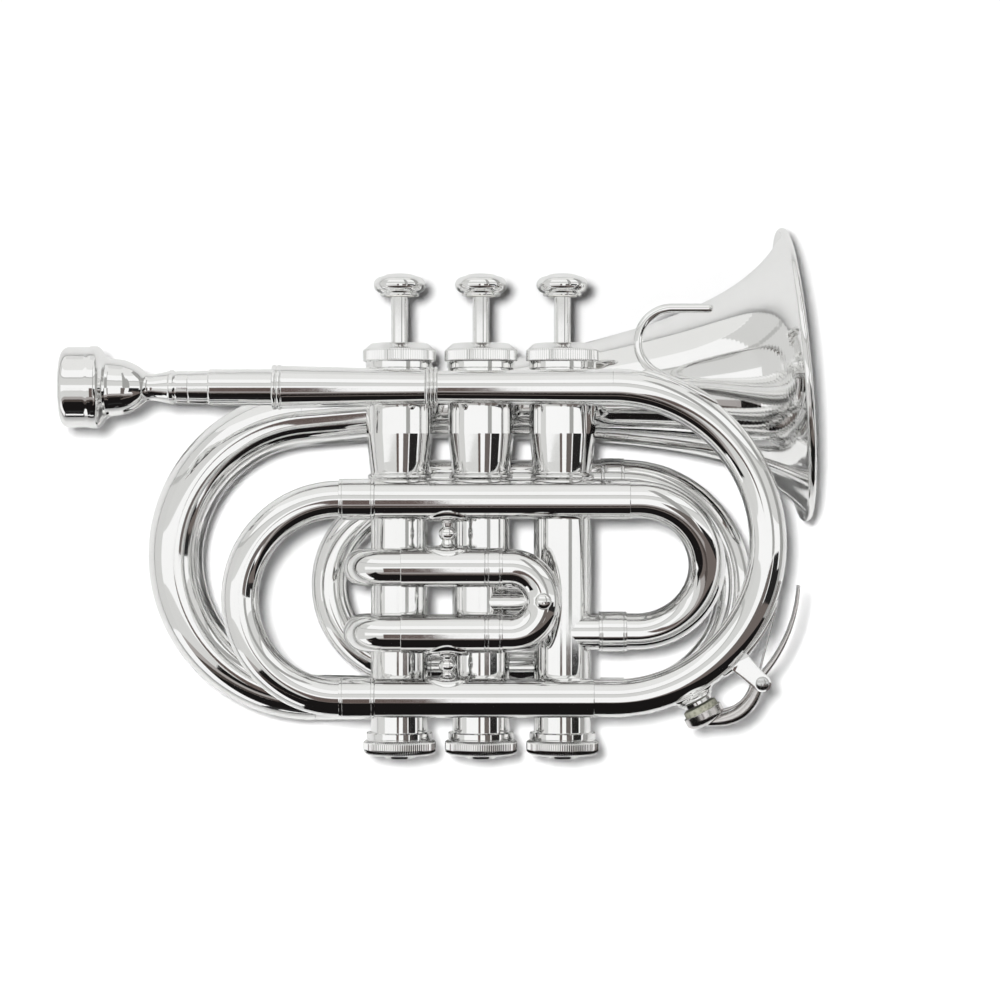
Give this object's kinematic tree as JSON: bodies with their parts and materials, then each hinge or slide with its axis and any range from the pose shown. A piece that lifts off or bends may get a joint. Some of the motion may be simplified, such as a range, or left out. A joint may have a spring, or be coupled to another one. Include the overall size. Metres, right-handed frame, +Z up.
{
  "type": "pocket trumpet",
  "caption": "Silver-plated pocket trumpet with tightly wound tubing, piston valves with finger buttons, pull-out tuning slides, a water key, a finger hook and a removable mouthpiece.",
  "frame": {"origin": "centre of the underside of the middle bottom cap, on the middle valve's axis", "axes": "+X towards the bell mouth along the leadpipe, +Y to the player's left (away from the camera), +Z up along the valve axes"},
  "size_m": [0.2486, 0.1105, 0.1783],
  "materials": {
    "silver_plate": "polished silver plate",
    "piston_metal": "lapped satin",
    "spring_steel": "drawn wire",
    "guide_nylon": "matte",
    "felt": "matte felt",
    "cork": "matte cork"
  },
  "bodies": {
    "instrument": {"mouthpiece_receiver": "silver_plate", "leadpipe": "silver_plate", "leadpipe_collar": "silver_plate", "leadpipe_bow": "silver_plate", "lower_slide_tube": "silver_plate", "upper_slide_tube": "silver_plate", "crossover_bow": "silver_plate", "valve_casing_1": "silver_plate", "valve_casing_2": "silver_plate", "valve_casing_3": "silver_plate", "valve_links": "silver_plate", "top_cap_1": "silver_plate", "top_cap_2": "silver_plate", "top_cap_3": "silver_plate", "bottom_cap_1": "silver_plate", "bottom_cap_2": "silver_plate", "bottom_cap_3": "silver_plate", "valve_guide_1": "guide_nylon", "valve_guide_2": "guide_nylon", "valve_guide_3": "guide_nylon", "valve_spring_1": "spring_steel", "valve_spring_2": "spring_steel", "valve_spring_3": "spring_steel", "first_slide_tubes": "silver_plate", "second_slide_tubes": "silver_plate", "third_slide_tubes": "silver_plate", "bell": "silver_plate", "bell_bow": "silver_plate", "bell_branch": "silver_plate", "branch_bow": "silver_plate", "branch_pipe": "silver_plate", "slide_braces": "silver_plate", "bell_brace": "silver_plate", "finger_hook": "silver_plate", "water_key_saddle": "silver_plate", "water_key_pivot": "spring_steel", "water_key_spring": "spring_steel"},
    "valve_1": {"piston_1": "piston_metal", "valve_stem_1": "silver_plate", "stem_felts_1": "felt", "finger_button_1": "silver_plate"},
    "valve_2": {"piston_2": "piston_metal", "valve_stem_2": "silver_plate", "stem_felts_2": "felt", "finger_button_2": "silver_plate"},
    "valve_3": {"piston_3": "piston_metal", "valve_stem_3": "silver_plate", "stem_felts_3": "felt", "finger_button_3": "silver_plate"},
    "main_slide": {"main_slide_crook": "silver_plate", "main_slide_legs": "silver_plate"},
    "first_slide": {"first_slide_crook": "silver_plate", "first_slide_legs": "silver_plate"},
    "second_slide": {"second_slide_crook": "silver_plate", "second_slide_legs": "silver_plate"},
    "third_slide": {"third_slide_crook": "silver_plate", "third_slide_legs": "silver_plate"},
    "mouthpiece": {"mouthpiece": "silver_plate"},
    "water_key": {"water_key_lever": "silver_plate", "water_key_cork": "cork"}
  },
  "joints": [
    {"name": "valve_1_press", "type": "slide", "parent": "instrument", "child": "valve_1", "axis": [0, 0, -1], "range_m": [0, 0.015], "stiffness_N_per_m": 150, "springref_m": -0.02, "deforming": ["valve_spring_1"]},
    {"name": "valve_2_press", "type": "slide", "parent": "instrument", "child": "valve_2", "axis": [0, 0, -1], "range_m": [0, 0.015], "stiffness_N_per_m": 150, "springref_m": -0.02, "deforming": ["valve_spring_2"]},
    {"name": "valve_3_press", "type": "slide", "parent": "instrument", "child": "valve_3", "axis": [0, 0, -1], "range_m": [0, 0.015], "stiffness_N_per_m": 150, "springref_m": -0.02, "deforming": ["valve_spring_3"]},
    {"name": "main_slide_pull", "type": "slide", "parent": "instrument", "child": "main_slide", "axis": [-1, 0, 0], "range_m": [0, 0.03]},
    {"name": "first_slide_pull", "type": "slide", "parent": "instrument", "child": "first_slide", "axis": [1, 0, 0], "range_m": [0, 0.012]},
    {"name": "second_slide_pull", "type": "slide", "parent": "instrument", "child": "second_slide", "axis": [0, 1, 0], "range_m": [0, 0.01]},
    {"name": "third_slide_pull", "type": "slide", "parent": "instrument", "child": "third_slide", "axis": [-1, 0, 0], "range_m": [0, 0.018]},
    {"name": "mouthpiece_pull", "type": "slide", "parent": "instrument", "child": "mouthpiece", "axis": [-1, 0, 0], "range_m": [0, 0.025]},
    {"name": "water_key_swing", "type": "hinge", "parent": "instrument", "child": "water_key", "pos_m": [0.09143, -0.017, 0.02601], "axis": [0, -1, 0], "range_deg": [0, 7], "stiffness_Nm_per_rad": 0.1, "springref_deg": -17.19}
  ]
}
